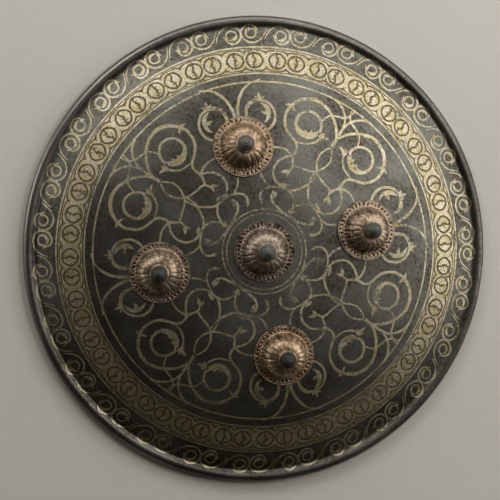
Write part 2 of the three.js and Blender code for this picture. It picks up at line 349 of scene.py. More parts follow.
# Long stem from the crossing to the curl below the boss
field += stroke([(65.7, 64.4), (61.3, 59.1), (55.3, 54.9), (47.1, 52.2), (38.3, 51.4), (31.7, 54.3),
                 (25.1, 57.1), (17.4, 59.1), (10.9, 58.0), (6.8, 54.2), (5.9, 49.4)],
                [1.0, 1.3, 1.5, 1.4, 1.3, 1.7])
field += leaf((5.9, 51.5), (7.2, 44.4), 3.0)
field += leaf((56.2, 35.6), (60.4, 27.2), 3.4)
# Stem from the boss's inner side, and the curl along the centre ring
field += stroke([(11.0, 73.5), (13.6, 64.6), (18.6, 59.0)], [1.3, 1.3, 1.0])
field += stroke([(20.6, 54.2), (17.0, 50.2), (17.2, 43.8), (21.8, 37.2), (28.4, 29.5), (36.1, 21.8),
                 (43.8, 17.6), (50.3, 16.9), (54.6, 20.0)], [1.9, 1.5, 1.3, 1.3, 1.2, 0.9])
field += leaf((18.6, 47.5), (23.6, 54.6), 2.6)
field += leaf((30.0, 31.5), (36.4, 31.6), 3.0)
draw(field, "gold", eighths)
print("field:", len(field), "polygons in one eighth,", len(drawing), "in all")

# %% [markdown]
# ## The gilt band and its roundels
#
# The band is covered with gold leaf, and the pattern is scored through it to the steel. Pointed roundels
# stand in pairs, 28 pairs round the shield, and fine lines run along both edges and dip between the
# roundels. Each roundel holds a small curled spur with leaves. On the real shield no two spurs are alike,
# so the roundels repeat one drawing, and the spurs are drawn one by one from a seeded generator.

# %% Draw one pair of roundels and repeat it
def round_the_rim(radius, start, count, k):
    def place(points):
        angle = start + 2 * math.pi * k / count + points[:, 0] / radius
        r = radius + points[:, 1]
        return np.stack([r * np.cos(angle), r * np.sin(angle)], 1)
    return place


BAND_MIDDLE, BAND_PAIRS, BAND_START = 181.5, 28, math.radians(6.35)
ROUNDEL_HALF_LENGTH, ROUNDEL_HALF_HEIGHT, ROUNDEL_OFFSET = 7.5, 7.3, 9.3
EDGE_LINE, DIP_WIDTH = 9.9, 2.6
pair_places = [round_the_rim(BAND_MIDDLE, PATTERN_TURN + BAND_START, BAND_PAIRS, k)
               for k in range(BAND_PAIRS)]
half_pair = math.pi * BAND_MIDDLE / BAND_PAIRS

roundels = []
for side in (-1, 1):
    turn = np.linspace(0, 2 * math.pi, 27)
    pointed = 1 + 0.08 * np.abs(np.cos(turn)) ** 8
    outline = np.stack([side * ROUNDEL_OFFSET + ROUNDEL_HALF_LENGTH * pointed * np.cos(turn),
                        ROUNDEL_HALF_HEIGHT * np.sin(turn)], 1)
    roundels += stroke(outline, [1.4, 1.4], spacing=1.9)
    # Edge lines, dipping between the roundels
    u = np.linspace(-half_pair, half_pair, 25)
    dips = 1.9 * np.exp(-(u / DIP_WIDTH) ** 2) + 2.2 * np.exp(-((half_pair - np.abs(u)) / DIP_WIDTH) ** 2)
    edge_line = np.stack([u, side * (EDGE_LINE - dips)], 1)
    roundels += stroke(edge_line, [1.2, 0.7, 1.3, 0.7, 1.2], spacing=1.7)
    for x, root, tip in ((0.0, 8.2, 5.4), (side * half_pair, 8.0, 5.2), (side * half_pair, -8.0, -5.2)):
        roundels += leaf((x, side * root), (x, side * tip), 1.6)
draw(roundels, "scored", pair_places)
print("band:", len(roundels), "polygons in each of", BAND_PAIRS, "pairs")

# %% Draw the spurs one by one
free_hand = np.random.default_rng(56)
for place in pair_places:
    for x in (-ROUNDEL_OFFSET, ROUNDEL_OFFSET):
        hand = free_hand.choice([-1, 1])
        sway = hand * free_hand.uniform(0.5, 1.6, 3)
        spur = stroke([(x, 7.0), (x + sway[0], 4.2), (x - sway[1], 0.2), (x + sway[2], -3.6), (x, -7.0)],
                      [1.6, 1.1, 1.8, 1.1, 1.5], spacing=2.0)
        for height, lean in zip((3.6, -0.4, -3.4), free_hand.uniform(-1.2, 1.2, 3)):
            out = free_hand.choice([-1, 1]) * free_hand.uniform(2.0, 3.6)
            spur += leaf((x, height), (x + out, height + lean), free_hand.uniform(1.0, 1.7))
        draw(spur, "scored", [place])
print(2 * BAND_PAIRS, "spurs, each of about", len(spur), "polygons")

# %% [markdown]
# ## The running scroll of the border
#
# Between the band and the rim runs a wave of double volutes, 27 round the shield. Each half is the other
# turned by half a turn: an outer line round a small ring with a crescent in it, and a tail that slips
# beside the tail of the next one.

# %% Draw one double volute and repeat it
BORDER_MIDDLE, BORDER_SCROLLS, BORDER_START = 207.1, 27, math.radians(3.4)
scroll_places = [round_the_rim(BORDER_MIDDLE, PATTERN_TURN + BORDER_START, BORDER_SCROLLS, k)
                 for k in range(BORDER_SCROLLS)]
half_scroll = stroke([(15.6, -3.0), (13.9, -6.9), (9.4, -8.9), (4.8, -7.7), (1.4, -4.3), (0.3, 0.0),
                      (1.8, 4.7), (6.0, 7.6), (10.8, 8.4), (15.7, 7.1), (20.3, 3.7), (23.3, -0.9),
                      (25.2, -5.0)], [1.0, 1.2, 1.4, 1.3, 1.2, 1.1, 0.9, 0.6], spacing=1.7)
half_scroll += ring_arc((9.4, -0.9), (4.9, 4.8), -35, 275, [1.2, 1.0, 1.3], steps=22)
half_scroll += crescent((9.4, -0.9), 5.4, 165, 320, 2.6, steps=9)
for tip, width in (((17.4, -0.4), 1.9), ((13.6, 2.4), 1.6)):
    half_scroll += leaf((14.4, -3.6), tip, width)
for turned in (1, -1):
    draw([turned * p for p in half_scroll], "gold", scroll_places)
print("border:", len(half_scroll), "polygons in half a scroll,", len(drawing), "in the whole drawing")

# %% [markdown]
# ## Laying the drawing on the plate
#
# The drawing could be a picture wrapped on the plate, but then its edges would blur. Instead a
# constrained triangulation cuts the disc along every line, and says for each triangle which polygons
# cover it. The last one drawn decides between gold and steel. Where none covers it, the distance from the
# axis decides, because the plain lines and the band are rings. A hand-drawn shield is never quite true,
# so slow waves first shift each point, mostly by less than half a millimetre.

# %% The plain rings and the unsteady hand
# Inner and outer radius of each: two round the centre boss, the field's edge, and the band with its two lines
GOLD_RINGS = [(35.4, 36.7), (39.4, 40.8), (160.0, 161.6), (168.2, 169.6), (170.7, 192.5), (193.6, 195.1)]
WHOLE_TURN = 6.3  # two pi and a little more
# Long, middle and short waves: pitch in radians per mm, heading, phase, and size in mm
WAVES = [(random.uniform(0.02, 0.06), random.uniform(0, WHOLE_TURN), random.uniform(0, WHOLE_TURN),
          random.uniform(0.1, 0.22)) for _ in range(6)]
for low_pitch, high_pitch, size, count in ((0.35, 0.9, 0.09, 6), (1.5, 3.0, 0.045, 5)):
    WAVES += [(random.uniform(low_pitch, high_pitch), random.uniform(0, WHOLE_TURN),
               random.uniform(0, WHOLE_TURN), size) for _ in range(count)]


def hand_drawn(points):
    shift = np.zeros_like(points)
    for pitch, heading, phase, size in WAVES:
        wave = np.sin(pitch * (points[:, 0] * math.cos(heading) + points[:, 1] * math.sin(heading)) + phase)
        shift[:, 0] += size * wave * math.sin(heading)
        shift[:, 1] += size * wave * math.cos(heading)
    return points + shift


print(len(WAVES), "waves, together at most", round(sum(wave[3] for wave in WAVES), 2), "mm")

# %% Cut the face along the drawing
RIM_STEPS = 540
points, edges, faces, metals = [], [], [], []


def circle(radius, count, offset=0.0):
    turn = np.arange(count) * 2 * math.pi / count + offset
    return np.stack([radius * np.cos(turn), radius * np.sin(turn)], 1)


def add_points(new):
    start = sum(len(p) for p in points)
    points.append(np.asarray(new, float))
    return start


for inner, outer in GOLD_RINGS:
    for radius in (inner, outer):
        count = max(120, 4 * int(radius * 0.75))
        start = add_points(circle(radius, count))
        edges += [(start + i, start + (i + 1) % count) for i in range(count)]
rim_start = add_points(circle(ROLL_R, RIM_STEPS))
edges += [(rim_start + i, rim_start + (i + 1) % RIM_STEPS) for i in range(RIM_STEPS)]
# Rings of loose points carry the bend of the dome, the trough and the roll
support = [*np.arange(7, 205, 7.0), 206.5, 208.6, *np.linspace(TROUGH_START, MEET_R, 7)]
support += [216.9, 217.5, 218.2, 219.0]
for k, radius in enumerate(support):
    count = RIM_STEPS // 2 if radius > 205 else max(8, int(radius * 0.9))
    add_points(circle(radius, count, offset=0.5 * (k % 2) * 2 * math.pi / count))
add_points([(0.0, 0.0)])
for polygon, metal in drawing:
    p = hand_drawn(polygon)
    x, y = p[:, 0], p[:, 1]
    if np.sum(x * np.roll(y, -1) - y * np.roll(x, -1)) < 0:
        p = p[::-1]
    start = add_points(p)
    faces.append(list(range(start, start + len(p))))
    metals.append(metal)

flat = np.vstack(points)
cut = delaunay_2d_cdt([Vector(p) for p in flat], edges, faces, 0, 1e-3, True)
flat = np.array([tuple(v) for v in cut[0]])
triangles = np.array([f for f in cut[2]])
centres = flat[triangles].mean(axis=1)
from_axis = np.hypot(centres[:, 0], centres[:, 1])
METALS = ["steel", "gold", "scored"]
metal_of = np.zeros(len(triangles), int)
for inner, outer in GOLD_RINGS:
    metal_of[(from_axis > inner) & (from_axis < outer)] = METALS.index("gold")
for i, covering in enumerate(cut[5]):
    if covering:
        metal_of[i] = METALS.index(metals[max(covering)])
print("cut face:", len(flat), "points,", dict(zip(METALS, np.bincount(metal_of).tolist())), "triangles")

# %% [markdown]
# ## Blued steel
#
# The plate is hammered sheet steel, blued: heated until a thin dark oxide forms, then oiled. The eye sees
# a nearly black metal with a soft sheen, browner where fine rust sits, and paler where hands have rubbed
# the crown and, a little, the edge. The roll is also painted paler at the upper left of the picture, as a
# painted highlight on the side the light comes from. A dark base colour would kill the sheen. A metal's
# base colour tints what it mirrors, and the studio is dark, so a mid grey already reads as black. Clouds
# of 55 mm, rust specks of 3.5 mm and fine rust of 1.6 mm carry the wear. Real polishing scratches are
# under 0.1 mm wide, and are drawn at 0.9 mm so that they show.

# %% Steel that all three finishes of the plate share
BLUED, BLUED_PALE = colour("#61625d"), colour("#7b7c76")
RUST_BROWN, RUBBED_STEEL_AND_SHEEN = colour("#40362b"), colour("#8e8e8b")


def steel_surface(add):
    where = add("TexCoord", out="Object")
    clouds = add("TexNoise", grain(where, 55, 5))
    specks = add("TexNoise", grain(where, 3.5, 6, 0.7))
    pale = add("MapRange", [clouds, 0.4, 0.62])
    rust = weighted(add, [add("MapRange", [specks, 0.46, 0.62]), add("MapRange", [clouds, 0.66, 0.4])])
    # This value is wear at the crown and a little along the edge, and a painted highlight on the roll at the
    # upper left of the picture
    wear_and_sheen = add("Attribute", out="Fac", attribute_name="wear_and_sheen")
    patches_and_sheen = weighted(add, [wear_and_sheen, add("MapRange", [specks, 0.3, 0.62, 0.35, 1.0])])
    fine_rust = add("MapRange", [add("TexNoise", grain(where, 1.6, 3, 0.7)), 0.35, 0.68, 0.0, 0.5])
    base = coats(add, BLUED, (pale, BLUED_PALE), (rust, RUST_BROWN), (patches_and_sheen, RUBBED_STEEL_AND_SHEEN),
                 (fine_rust, RUST_BROWN))
    brushed = add("Mapping", {"Vector": where, "Rotation": (0, 0, 0.5), "Scale": (1.0, 0.06, 1.0)})
    scratches = add("TexNoise", grain(brushed, 0.9, 3))
    dull = add("MapRange", [specks, 0.3, 0.75, 0.4, 0.58])
    polish = weighted(add, [patches_and_sheen, 0.14])
    roughness = add("Math", [dull, polish], operation="SUBTRACT", use_clamp=True)
    height = weighted(add, [specks, 0.6], [scratches, 0.4])
    return {"where": where, "base": base, "roughness": roughness, "specks": specks, "height": height}


def make_blued_steel():
    material, add = new_material("blued_steel_hammered_sheet")
    steel = steel_surface(add)
    finish(add, steel["base"], steel["roughness"], steel["height"], depth_mm=0.25)
    return material


blued_steel = make_blued_steel()
print(blued_steel.name, "has", len(blued_steel.node_tree.nodes), "nodes")

# %% [markdown]
# ## Laid gold
#
# The ornament is koftgari: the steel is scored with a fine cross-hatch, and gold wire and leaf are
# hammered into it. It lies flush, so it is a second material on the plate's own surface, and nothing is
# raised. The gold is pale and slightly matt, and it is worn back to steel in patches of 26 mm and grit of
# 2.4 mm, most at the crown. The real hatch has about five lines to the millimetre, too fine to show, so
# it is drawn as a 1 mm grain of dirt.

# %% Gold hammered into the steel
LAID_GOLD, LAID_GOLD_DULL, SCORED_DIRT = colour("#cfc9b5"), colour("#b5a97a"), colour("#5e4f3a")


def make_laid_gold():
    material, add = new_material("laid_gold_worn")
    steel = steel_surface(add)
    where = steel["where"]
    patches = add("TexNoise", grain(where, 26, 6, 0.65))
    grit = add("TexNoise", grain(where, 2.4, 4, 0.65))
    handled = add("Attribute", out="Fac", attribute_name="gold_wear")
    loss = weighted(add, [patches, 0.55], [grit, 0.45], [handled, 0.1])
    gone = add("MapRange", [loss, 0.53, 0.62, 0.0, 0.85])
    blotches = add("TexNoise", grain(where, 7, 4, 0.6))
    dulled = add("MapRange", [blotches, 0.4, 0.66])
    hatch = add("TexNoise", grain(where, 1.0, 2))
    dirty = add("MapRange", [hatch, 0.44, 0.66, 0.0, 0.6])
    base = coats(add, LAID_GOLD, (dulled, LAID_GOLD_DULL), (dirty, SCORED_DIRT), (gone, steel["base"]))
    roughness = add("MapRange", [grit, 0.3, 0.7, 0.42, 0.6])
    finish(add, base, roughness, weighted(add, [hatch, 0.7], [steel["height"], 0.3]), depth_mm=0.2)
    return material


laid_gold = make_laid_gold()
print(laid_gold.name, "has", len(laid_gold.node_tree.nodes), "nodes")

# %% [markdown]
# ## Scored lines
#
# In the gilt band the pattern is scored through the gold to the steel. The lines could be cut as grooves,
# but at a millimetre wide the eye reads them as colour alone: rough steel with old oil and rust in it, so
# brown and nearly matt, with crumbs of gold of about 1.8 mm left here and there.

# %% Lines scored through the gold
def make_scored_lines():
    material, add = new_material("scored_lines_with_old_oil")
    steel = steel_surface(add)
    dirty = add("MapRange", [steel["specks"], 0.35, 0.65, 0.5, 1.0])
    crumbs = add("TexNoise", grain(steel["where"], 1.8, 3))
    gold_left = add("MapRange", [crumbs, 0.5, 0.64, 0.0, 0.45])
    base = coats(add, steel["base"], (dirty, SCORED_DIRT), (gold_left, LAID_GOLD_DULL))
    finish(add, base, 0.62, steel["height"], depth_mm=0.3)
    return material


scored_lines = make_scored_lines()
print(scored_lines.name, "has", len(scored_lines.node_tree.nodes), "nodes")

# %% [markdown]
# ## The back of the plate
#
# The rest of the plate is turned like a pot: the profile runs from the crest of the roll round its
# outside and underside, into the curl, and back under the dome to the axis. Its first ring shares the
# points of the cut face's edge, so the plate stays one closed surface. Exact normals keep the thin
# triangles of the drawing from showing in the gloss.

# %% Profile of the roll, the underside and the back
def turned_profile():
    flat_turn = math.acos((ROLL_RADIUS - ROLL_FLAT) / ROLL_RADIUS)
    profile = [(ROLL_RADIUS, a) for a in np.linspace(math.pi / 2, -math.pi / 2 + flat_turn, 13)[1:]]
    profile += [(ROLL_RADIUS, a) for a in np.linspace(-math.pi / 2 - flat_turn, math.radians(ROLL_END), 6)]
    inner = ROLL_RADIUS - SHEET
    profile += [(inner, a) for a in np.linspace(math.radians(ROLL_END), MEET - math.radians(2), 14)]
    rz = [(ROLL_R + s * math.cos(a), ROLL_Z + s * math.sin(a)) for s, a in profile]
    away = [(math.cos(a), math.sin(a)) if s > inner else (-math.cos(a), -math.sin(a)) for s, a in profile]
    fall, under_trough = math.atan(dome_slope(TROUGH_START)), TROUGH_RADIUS + SHEET
    for a in np.linspace(MEET - math.pi, -math.pi / 2 - fall, 7):
        rz.append((TROUGH_R + under_trough * math.cos(a), TROUGH_Z + under_trough * math.sin(a)))
        away.append((math.cos(a), math.sin(a)))
    for r in np.linspace(TROUGH_START, 0, 26)[1:]:
        fall = math.atan(dome_slope(r))
        rz.append((r - SHEET * math.sin(fall), dome_height(r) - SHEET * math.cos(fall)))
        away.append((-math.sin(fall), -math.cos(fall)))
    return rz, away


rz, away = turned_profile()
print("the turned profile has", len(rz), "points")

# %% Close the plate behind
crest = np.hypot(flat[:, 0], flat[:, 1]) > ROLL_R - 0.05
order = np.argsort(np.arctan2(flat[crest][:, 1], flat[crest][:, 0]))
ring_before = np.flatnonzero(crest)[order]
angles = np.arctan2(flat[ring_before][:, 1], flat[ring_before][:, 0])
plate_points = [np.column_stack([flat, face_height(np.hypot(flat[:, 0], flat[:, 1]))])]
plate_normals = [face_normals(flat)]
plate_faces = [tuple(t) for t in triangles]
rim_count, total = len(ring_before), len(flat)
for (r, z), (nr, nz) in zip(rz[:-1], away[:-1]):
    ring = np.arange(total, total + rim_count)
    total += rim_count
    plate_points.append(np.stack([r * np.cos(angles), r * np.sin(angles), np.full(rim_count, z)], 1))
    plate_normals.append(np.stack([nr * np.cos(angles), nr * np.sin(angles), np.full(rim_count, nz)], 1))
    for i in range(rim_count):
        j = (i + 1) % rim_count
        plate_faces.append((ring_before[i], ring[i], ring[j], ring_before[j]))
    ring_before = ring
plate_points.append(np.array([[0.0, 0.0, rz[-1][1]]]))
plate_normals.append(np.array([[0.0, 0.0, -1.0]]))
plate_faces += [(ring_before[i], total, ring_before[(i + 1) % rim_count]) for i in range(rim_count)]
plate_points, plate_normals = np.vstack(plate_points), np.vstack(plate_normals)
print("plate:", len(plate_points), "points,", len(plate_faces), "faces")

# %% [markdown]
# ## Wear, a painted highlight, and the plate as an object
#
# Wear and a painted highlight are kept as values at the mesh's points, because they follow places and not
# a pattern. Hands have rubbed the crown and a little of the edge, and the roll is painted paler at the
# upper left of the picture, as a painted highlight on the side the light comes from. The gold has gone
# first at the crown, on the border and in the upper right of the field.

# %% Helpers for meshes
def new_mesh(name, vertices_mm, polygons, materials, slots=None, normals=None, attributes=None):
    mesh = bpy.data.meshes.new(name)
    corners = [tuple(int(i) for i in polygon) for polygon in polygons]
    mesh.from_pydata((np.asarray(vertices_mm) * MM).tolist(), [], corners)
    for material in materials:
        mesh.materials.append(material)
    if slots is not None:
        mesh.polygons.foreach_set("material_index", np.asarray(slots, np.int32))
    mesh.polygons.foreach_set("use_smooth", np.ones(len(mesh.polygons), bool))
    for key, values in (attributes or {}).items():
        layer = mesh.attributes.new(key, "FLOAT", "POINT")
        layer.data.foreach_set("value", np.asarray(values, np.float32))
    mesh.update()
    if normals is not None:
        mesh.normals_split_custom_set_from_vertices(np.asarray(normals).tolist())
    made = bpy.data.objects.new(name, mesh)
    bpy.context.scene.collection.objects.link(made)
    return made


def ring_faces(rings, steps, closed=False):
    """Quads between rings of points, with the last ring joined to the first where it is closed."""
    return [(i * steps + j, i * steps + (j + 1) % steps,
             (i + 1) % rings * steps + (j + 1) % steps, (i + 1) % rings * steps + j)
            for i in range(rings if closed else rings - 1) for j in range(steps)]


def seated(seat, points_mm):
    return np.array([tuple(seat @ Vector(p)) for p in np.asarray(points_mm) * MM]) / MM


print("a tube of 2 rings of 4 points has", len(ring_faces(2, 4)), "faces")

# %% Make the plate
plate_r = np.hypot(plate_points[:, 0], plate_points[:, 1])
on_face = plate_points[:, 2] > face_height(np.clip(plate_r, 0, ROLL_R)) - 0.4
PHOTO_TURN = math.radians(-33.7)  # how far the shield is turned in the photograph
HIGHLIGHT_SIDE, WORN_SIDE = math.radians(130), math.radians(35)
FIELD_EDGE, BORDER_EDGE, ROLL_EDGE = 163, 196, 217.5
picture_side = np.arctan2(plate_points[:, 1], plate_points[:, 0]) + PHOTO_TURN
# Painted highlight: the roll is painted paler on the side the light comes from, the upper left of the picture
edge_highlight = 0.1 + 0.9 * np.clip(np.cos(picture_side - HIGHLIGHT_SIDE), 0, 1)
wear_and_sheen = np.clip((plate_r - ROLL_EDGE) / 2.5, 0, 1) * edge_highlight + 0.5 * np.clip(1 - plate_r / 75, 0, 1)
wear_and_sheen = np.where(on_face, wear_and_sheen, np.clip((plate_r - 217) / 4, 0, 1) * edge_highlight)
gold_wear = np.clip(1 - plate_r / 90, 0, 1) ** 0.7 + 0.25 * (plate_r > BORDER_EDGE)
gold_wear += (plate_r < FIELD_EDGE) * (0.12 + 0.22 * np.clip(np.cos(picture_side - WORN_SIDE), 0, 1))
plate = new_mesh("plate_blued_and_inlaid", plate_points, plate_faces,
                 [blued_steel, laid_gold, scored_lines],
                 slots=np.r_[metal_of, np.zeros(len(plate_faces) - len(triangles), int)],
                 normals=plate_normals, attributes={"wear_and_sheen": wear_and_sheen, "gold_wear": gold_wear})
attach(plate, "root")
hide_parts("shield_plate")
print(plate.name, "is worn most at", round(float(plate_r[np.argmax(gold_wear)]), 1), "mm from the axis")

# %% [markdown]
# ## Gilt copper
#
# The bosses are copper sheet, raised and chased, then fire-gilt: gold is laid on in mercury and heated.
# It gives a warm, slightly rough sheen. The gilding has thinned to a browner copper, most on the centre
# and the left boss, and dirt has gone nearly black in the hollows. The mesh carries both as values at its
# points, so the dirt sits exactly in the chased marks. Blotches are 9 mm across, and tool grain 1.1 mm.

# %% Fire-gilt copper with dirt in its hollows
def make_gilt_copper():
    material, add = new_material("gilt_copper_chased")
    where = add("TexCoord", out="Object")
    blotches = add("TexNoise", grain(where, 9, 5, 0.6))
    grains = add("TexNoise", grain(where, 1.1, 3))
    thinned = add("MapRange", [blotches, 0.35, 0.65])
    gone = add("Attribute", out="Fac", attribute_name="gilding_gone")
    browned = add("MapRange", [grains, 0.45, 0.7, 0.0, 0.6])
    in_hollows = add("MapRange", [add("Attribute", out="Fac", attribute_name="hollow"), 0.12, 0.8, 0.0, 0.95])
    dirt = weighted(add, [in_hollows, 1.0], [add("MapRange", [blotches, 0.5, 0.66, 0.0, 0.7]), 1.0])
    base = coats(add, colour("#c2a993"), (thinned, colour("#b09b7b")), (gone, colour("#a3988e")),
                 (browned, colour("#5f4a38")), (dirt, colour("#2a2119")))
    dull = weighted(add, [add("MapRange", [grains, 0.3, 0.7, 0.4, 0.54]), 1.0], [dirt, 0.2])
    finish(add, base, dull, grains, depth_mm=0.15)
    return material


gilt_copper = make_gilt_copper()
print(gilt_copper.name, "has", len(gilt_copper.node_tree.nodes), "nodes")

# %% [markdown]
# ## The bosses
#
# A boss is a bell of copper sheet with a flange. The chaser drove lobes into the bell from its foot to
# its neck, set a drop-shaped punch mark in the top of each, and struck short dashes round the flange. The
# marks could be a bump in the material, but the low light shows their depth, so the bell is a fine grid
# of rings, and the marks are pushed into it along its own normal. First comes its outline, from the
# flange up to the hole in its top.

# %% Outline of a boss
FLANGE_RADIUS, FLANGE_THICKNESS = 29.0, 1.4
BELL_RADIUS, BELL_HEIGHT, BELL_WALL, SHOULDER, NECK = 21.3, 21.0, 1.3, 17.6, 8.6
BEAD_WIDTH, BEAD_HEIGHT = 1.9, 1.1
BOSS_CIRCLE, FIT_GAP, HOLE_RADIUS = 101.0, 0.3, 3.3
ROUNDNESS = 0.9  # under 1 makes the bell's side fuller than an ellipse


def bell_profile(seat_radius):
    """The outside from the flange's lower edge up, the lining from the top down, and the bell's foot."""
    def under(r):
        return FIT_GAP - r ** 2 / (2 * seat_radius)

    def side(a):
        return NECK + (BELL_RADIUS - NECK) * math.cos(a) ** ROUNDNESS, foot + (SHOULDER - foot) * math.sin(a)

    foot, edge = under(BELL_RADIUS) + FLANGE_THICKNESS, under(FLANGE_RADIUS)
    outer = [(FLANGE_RADIUS - 0.3, edge), (FLANGE_RADIUS, edge + 0.4)]
    outer += [(FLANGE_RADIUS - 0.35 * (1 - math.cos(a)), edge + 0.9 + 0.5 * math.sin(a))
              for a in np.linspace(0, math.pi / 2, 4)]
    outer += [(r, under(r) + FLANGE_THICKNESS)
              for r in np.linspace(FLANGE_RADIUS - 0.7, BELL_RADIUS + BEAD_WIDTH, 16)]
    outer += [(BELL_RADIUS + BEAD_WIDTH / 2 * (1 + math.cos(a)), foot + BEAD_HEIGHT * math.sin(a) * 0.95)
              for a in np.linspace(0.3, math.pi - 0.5, 8)]
    outer += [side(a) for a in np.linspace(0.06, math.pi / 2, 40)]
    outer += [(NECK - 0.02, SHOULDER + 0.7), (NECK, BELL_HEIGHT - 0.5), (NECK - 0.15, BELL_HEIGHT - 0.12),
              (NECK - 0.5, BELL_HEIGHT), (HOLE_RADIUS, BELL_HEIGHT)]
    lining = [(HOLE_RADIUS, BELL_HEIGHT - BELL_WALL)]
    for a in np.linspace(math.pi / 2, 0.0, 9):
        r, z = side(a)
        clear_of_lobes = 0.9 if a > 0.2 else 0
        lining.append((r - BELL_WALL * math.cos(a) ** 0.5 - clear_of_lobes, z - BELL_WALL * math.sin(a)))
    lining.append((BELL_RADIUS - BELL_WALL, under(BELL_RADIUS - BELL_WALL)))
    return np.array(outer), np.array(lining), foot


print("outline of a boss:", len(bell_profile(FOOT_RADIUS)[0]), "points outside")

# %% [markdown]
# ## The chasing
#
# No two blows of a chasing tool are alike. Each lobe, furrow and dash therefore has its own strength, and
# each dash its own place, lean and length, drawn from a seeded generator. A real chasing line is about
# 0.4 mm wide. The dashes are drawn about 1 mm wide, so that the grid of rings can hold them and the
# render shows them.

# %% Marks pushed into the bell and the flange
LOBES, LOBE_DEPTH, PUNCHES, PUNCH_CIRCLE = 20, 1.0, 40, 25.5


def dent(distance, reach):
    return np.exp(-(distance / reach) ** 2)


def one_blow_each(chance):
    return {
        "lobe": chance.uniform(0.5, 1.25, LOBES), "furrow": chance.uniform(0.55, 1.25, LOBES),
        "shift": chance.uniform(-0.45, 0.45, PUNCHES), "out": chance.uniform(-0.7, 0.7, PUNCHES),
        "lean": chance.normal(0, 0.45, PUNCHES), "length": chance.uniform(0.8, 2.1, PUNCHES),
        "weight": chance.uniform(0.5, 1.1, PUNCHES),
    }


def lobes_and_drops(r, z, theta, foot, hand):
    height = np.clip((z - foot) / (SHOULDER - foot), 0, 1)
    on_bell = (r < BELL_RADIUS) & (z > foot + 0.05) & (z < SHOULDER + 0.1)
    lobe = theta * LOBES / (2 * math.pi)
    struck = hand["lobe"][np.floor(lobe + 0.5).astype(int) % LOBES]
    furrow = hand["furrow"][np.floor(lobe).astype(int) % LOBES]
    within = np.abs((lobe + 0.5) % 1 - 0.5) * 2
    rise = np.sin(math.pi * height) ** 0.5 * (1.15 - 0.6 * height)
    depth = -LOBE_DEPTH * 0.8 * furrow * dent(within - 1, 0.4) * rise * on_bell
    depth += 0.3 * struck * (1 - within ** 2) * np.sin(math.pi * height) * on_bell
    depth -= 0.6 * struck * dent(within, 0.3) * dent(height - 0.66, 0.07) * on_bell
    return depth - 0.3 * struck * dent(within, 0.25) * dent(height - 0.36, 0.12) * on_bell


def dashes_and_rings(r, z, theta, foot, hand):
    on_flange = (r > BELL_RADIUS + BEAD_WIDTH + 0.2) & (z < foot + 0.3)
    mark = np.floor(theta * PUNCHES / (2 * math.pi)).astype(int) % PUNCHES
    beside = (theta * PUNCHES / (2 * math.pi) % 1 - 0.5) * 2 * math.pi * PUNCH_CIRCLE / PUNCHES
    beside = beside - hand["shift"][mark]
    outward, lean = r - PUNCH_CIRCLE - hand["out"][mark], hand["lean"][mark]
    along = outward * np.cos(lean) + beside * np.sin(lean)
    across = beside * np.cos(lean) - outward * np.sin(lean)
    dash = dent(across, 0.55) * np.clip((hand["length"][mark] - np.abs(along)) / 0.3, 0, 1)
    depth = -0.9 * hand["weight"][mark] * dash * on_flange
    depth -= 0.3 * dent(r - (FLANGE_RADIUS - 1.2), 0.25) * on_flange
    depth += 0.2 * np.cos(theta * 2 * PUNCHES) * (r > FLANGE_RADIUS - 1.0) * on_flange
    on_bead = (r > BELL_RADIUS - 0.1) & (r < BELL_RADIUS + BEAD_WIDTH) & (z > foot + 0.3) & (z < foot + 2)
    return depth - 0.25 * (0.5 + 0.5 * np.cos(theta * PUNCHES)) * on_bead


print(LOBES, "lobes and", PUNCHES, "dashes on each boss")

# %% [markdown]
# ## Building the bosses
#
# The outline and its lining become rings of points, each pushed by the chasing and by the slight
# unevenness of hammered sheet. Each point also notes how deep it was pushed, which is where dirt stays.
# The four outer bosses sit square to the dome, so each is turned into place with the dome's slope.

# %% Build the bosses
BOSS_STEPS = LOBES * 18
GILDING_GONE = {"centre": 0.75, "upper_left": 0.1, "lower_left": 0.5, "upper_right": 0.4, "lower_right": 0.0}
FULL_GRIME_FLANGE, FULL_GRIME_BELL = 0.55, 1.7  # depth in mm of a mark that is filled with dirt
LINING_GRIME, CENTRE_FLANGE_GRIME = 0.8, 0.3


def make_boss(place, seat, seat_radius, turn):
    outer, lining, foot = bell_profile(seat_radius)
    tangent = np.gradient(outer, axis=0)
    normal = np.stack([tangent[:, 1], -tangent[:, 0]], 1)
    normal /= np.linalg.norm(normal, axis=1)[:, None]
    theta = np.arange(BOSS_STEPS) * 2 * math.pi / BOSS_STEPS + turn
    rings, hollow = [], []
    hand = one_blow_each(np.random.default_rng(int(1000 * turn) + len(place)))
    for (r, z), (nr, nz) in zip(outer, normal):
        cut_in = lobes_and_drops(r, z, theta, foot, hand) + dashes_and_rings(r, z, theta, foot, hand)
        uneven = 0.07 * np.sin(5 * theta + 0.3 * z + turn) + 0.05 * np.sin(11 * theta - 0.5 * r)
        shape = cut_in + uneven * (r < BELL_RADIUS + 2)
        rings.append((np.clip(r + nr * shape, HOLE_RADIUS, FLANGE_RADIUS), z + nz * shape))
        on_flange = r > BELL_RADIUS + BEAD_WIDTH
        grime = np.clip(-cut_in / (FULL_GRIME_FLANGE if on_flange else FULL_GRIME_BELL), 0, 1)
        old_grime = CENTRE_FLANGE_GRIME if on_flange and place == "centre" else 0
        hollow.append(np.clip(grime + old_grime, 0, 1))
    for r, z in lining:
        rings.append((np.full(BOSS_STEPS, r), np.full(BOSS_STEPS, z)))
        hollow.append(np.full(BOSS_STEPS, LINING_GRIME))
    points = np.vstack([np.stack([r * np.cos(theta), r * np.sin(theta), z], 1) for r, z in rings])
    bare = np.full(len(points), GILDING_GONE[place])
    made = new_mesh(f"boss_{place}_chased", seated(seat, points),
                    ring_faces(len(rings), BOSS_STEPS, closed=True), [gilt_copper],
                    attributes={"hollow": np.concatenate(hollow), "gilding_gone": bare})
    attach(made, "root")
    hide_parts(f"boss_{place}")
    return made


